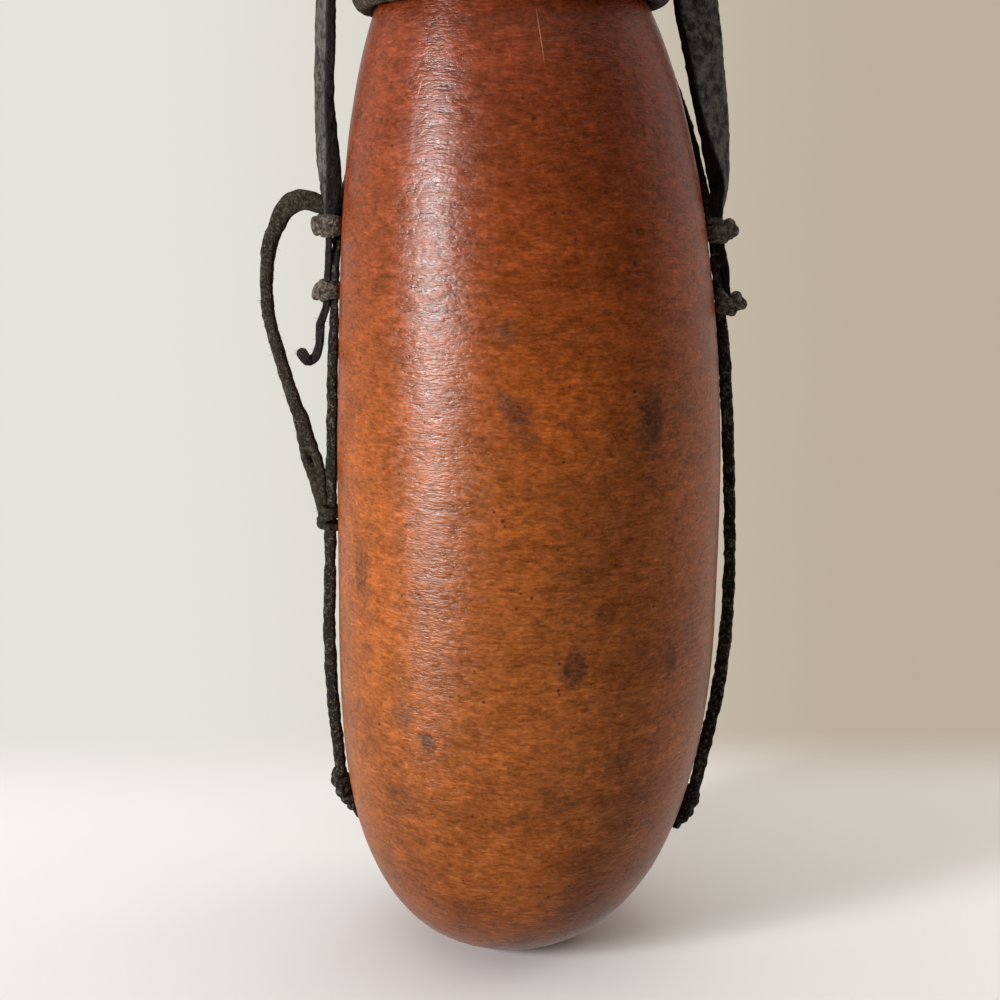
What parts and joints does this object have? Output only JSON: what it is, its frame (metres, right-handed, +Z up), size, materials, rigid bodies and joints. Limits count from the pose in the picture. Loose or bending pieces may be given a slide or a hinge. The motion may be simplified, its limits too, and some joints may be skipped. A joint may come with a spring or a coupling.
{
  "type": "drinking gourd",
  "caption": "Tall drinking gourd with an open neck, in a dark leather harness with a shoulder ring, knotted side thongs, a sling under the back and an arched carrying strap.",
  "frame": {"origin": "middle of the small flat spot that the gourd stands on", "axes": "+Z up along the gourd towards its mouth, -Y is the front, +X is the side where the flat strap shows its face"},
  "size_m": [0.1464, 0.1174, 0.4038],
  "materials": {
    "gourd_shell": "dried gourd rind, scraped, oiled and worn to a satin gloss",
    "ring_hide": "rolled hide laced all round, dry and dusty",
    "thong_hide": "black-brown rawhide thong with grey worn edges",
    "strap_hide": "flat rawhide strap, dark with a grey worn face"
  },
  "bodies": {
    "root": {"gourd_body": "gourd_shell", "neck_ring": "ring_hide", "left_side_thong": "thong_hide", "right_side_thong": "thong_hide", "base_sling": "thong_hide", "carry_strap": "strap_hide", "left_loop": "thong_hide", "left_knot_upper": "thong_hide", "left_knot_lower": "thong_hide", "right_knot_upper": "thong_hide", "right_knot_lower": "thong_hide", "left_foot_knot": "thong_hide", "right_foot_knot": "thong_hide"}
  },
  "joints": []
}
